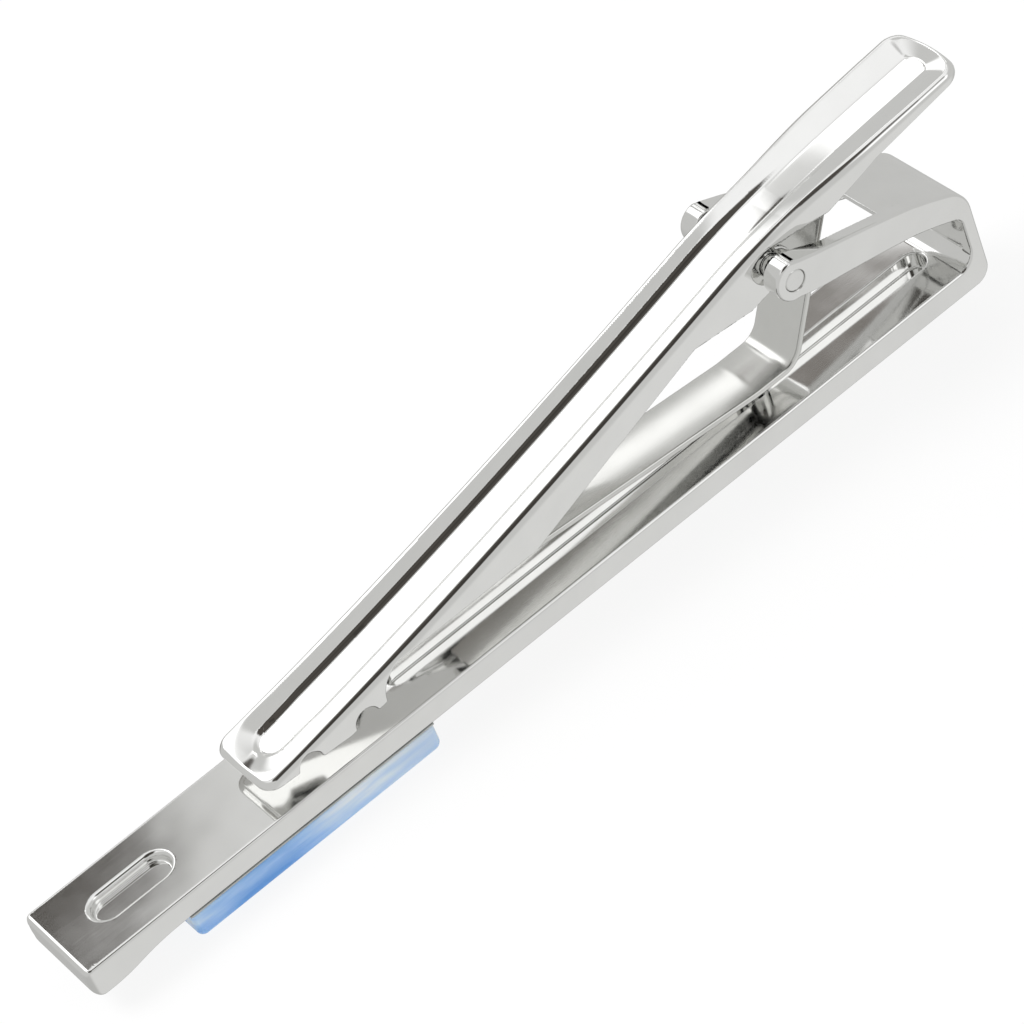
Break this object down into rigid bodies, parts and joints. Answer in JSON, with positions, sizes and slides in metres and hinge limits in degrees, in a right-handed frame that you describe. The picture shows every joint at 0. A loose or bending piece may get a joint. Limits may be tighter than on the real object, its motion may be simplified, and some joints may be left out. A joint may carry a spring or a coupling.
{
  "type": "tie clip",
  "caption": "Spring-lever tie clip: a polished bar with a pale blue insert on its front, a bracket, a pivoted channel lever with a toothed jaw, and a bent leaf spring.",
  "frame": {"origin": "centre of the insert's front face, which faces away from the wearer", "axes": "+X along the bar from its swelled end to the bracket, +Z from the insert through the bar to the lever, +Y across the bar"},
  "size_m": [0.061, 0.0078, 0.0145],
  "materials": {
    "bar_plating": "bright polished plating over cast brass",
    "lever_plating": "bright polished plating",
    "pin_metal": "polished",
    "spring_steel": "polished spring strip",
    "insert_stone": "polished pale blue silky stone or glass",
    "cement": "clear cement bed"
  },
  "bodies": {
    "bar": {"bar": "bar_plating", "insert": "insert_stone", "insert_bond": "cement", "pivot_pin": "pin_metal", "leaf_spring": "spring_steel", "spring_post": "pin_metal"},
    "lever": {"lever": "lever_plating"}
  },
  "joints": [
    {"name": "lever_pivot", "type": "hinge", "parent": "bar", "child": "lever", "pos_m": [0.0339, 0, 0.01105], "axis": [0, 1, 0], "range_deg": [0, 16], "stiffness_Nm_per_rad": 0.1, "springref_deg": -17.19, "deforming": ["leaf_spring"]}
  ]
}
